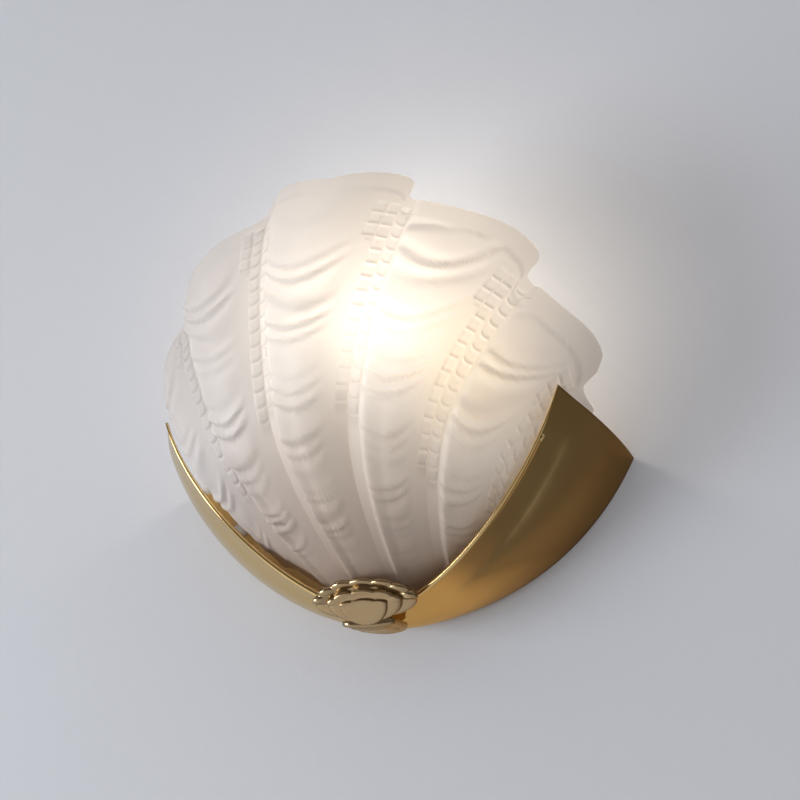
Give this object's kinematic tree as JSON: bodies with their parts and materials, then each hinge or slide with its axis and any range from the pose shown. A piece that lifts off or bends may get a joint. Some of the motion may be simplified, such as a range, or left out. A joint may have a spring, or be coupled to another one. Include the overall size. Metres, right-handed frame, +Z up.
{
  "type": "shell wall light",
  "caption": "Uplighter wall light: a frosted pressed-glass clam-shell bowl standing in a curved brass cradle with a small cast shell boss, lamp holder and bulb inside",
  "frame": {"origin": "on the wall, at the middle of the wall bracket's back face", "axes": "+Z up, +Y into the wall, -Y out into the room, +X to the right seen from the room"},
  "size_m": [0.3004, 0.1624, 0.2691],
  "materials": {
    "polished_brass": "polished and lacquered",
    "cast_brass": "cast and polished",
    "plain_brass": "plain turned or pressed brass",
    "plated_steel": "thin brass-coloured plating",
    "zinc_steel": "bright zinc plating",
    "nickel_cap": "nickel plating",
    "tinned_contact": "soldered contact",
    "frosted_glass": "pressed and frosted",
    "opal_dome": "opal, lit",
    "white_plastic": "moulded",
    "black_plastic": "moulded",
    "silicone": "clear matt silicone",
    "black_rubber": "matt",
    "brown_insulation": "insulated wire",
    "blue_insulation": "insulated wire",
    "green_insulation": "insulated wire",
    "board": "white solder mask"
  },
  "bodies": {
    "fixture": {"wall_bracket": "zinc_steel", "bracket_studs": "zinc_steel", "stud_washers": "zinc_steel", "cap_nuts": "polished_brass", "back_plate": "plated_steel", "right_cheek": "polished_brass", "left_cheek": "polished_brass", "glass_pads": "silicone", "cable_grommet": "black_rubber", "lamp_bracket": "zinc_steel", "leg_screws": "zinc_steel", "leg_nuts": "zinc_steel", "holder_nipple": "plain_brass", "lock_nut": "plain_brass", "holder_cup": "black_plastic", "holder_sleeve": "black_plastic", "screw_shell": "plain_brass", "centre_contact": "plain_brass", "terminal_block": "white_plastic", "terminal_screws": "plain_brass", "block_screw": "zinc_steel", "earth_screw": "plain_brass", "live_wire": "brown_insulation", "neutral_wire": "blue_insulation", "earth_wire": "green_insulation", "shell_boss": "cast_brass", "boss_stud": "zinc_steel", "seam_saddle": "zinc_steel", "boss_nut": "zinc_steel"},
    "shade": {"glass_shade": "frosted_glass"},
    "bulb": {"bulb_tip": "tinned_contact", "bulb_insulator": "black_plastic", "bulb_cap": "nickel_cap", "bulb_collar": "white_plastic", "led_board": "board", "bulb_dome": "opal_dome"}
  },
  "joints": [
    {"name": "shade_lift", "type": "slide", "parent": "fixture", "child": "shade", "axis": [0, -0.469, 0.8832], "range_m": [0, 0.22]},
    {"name": "bulb_out", "type": "slide", "parent": "fixture", "child": "bulb", "axis": [0, 0, 1], "range_m": [0, 0.027]}
  ]
}
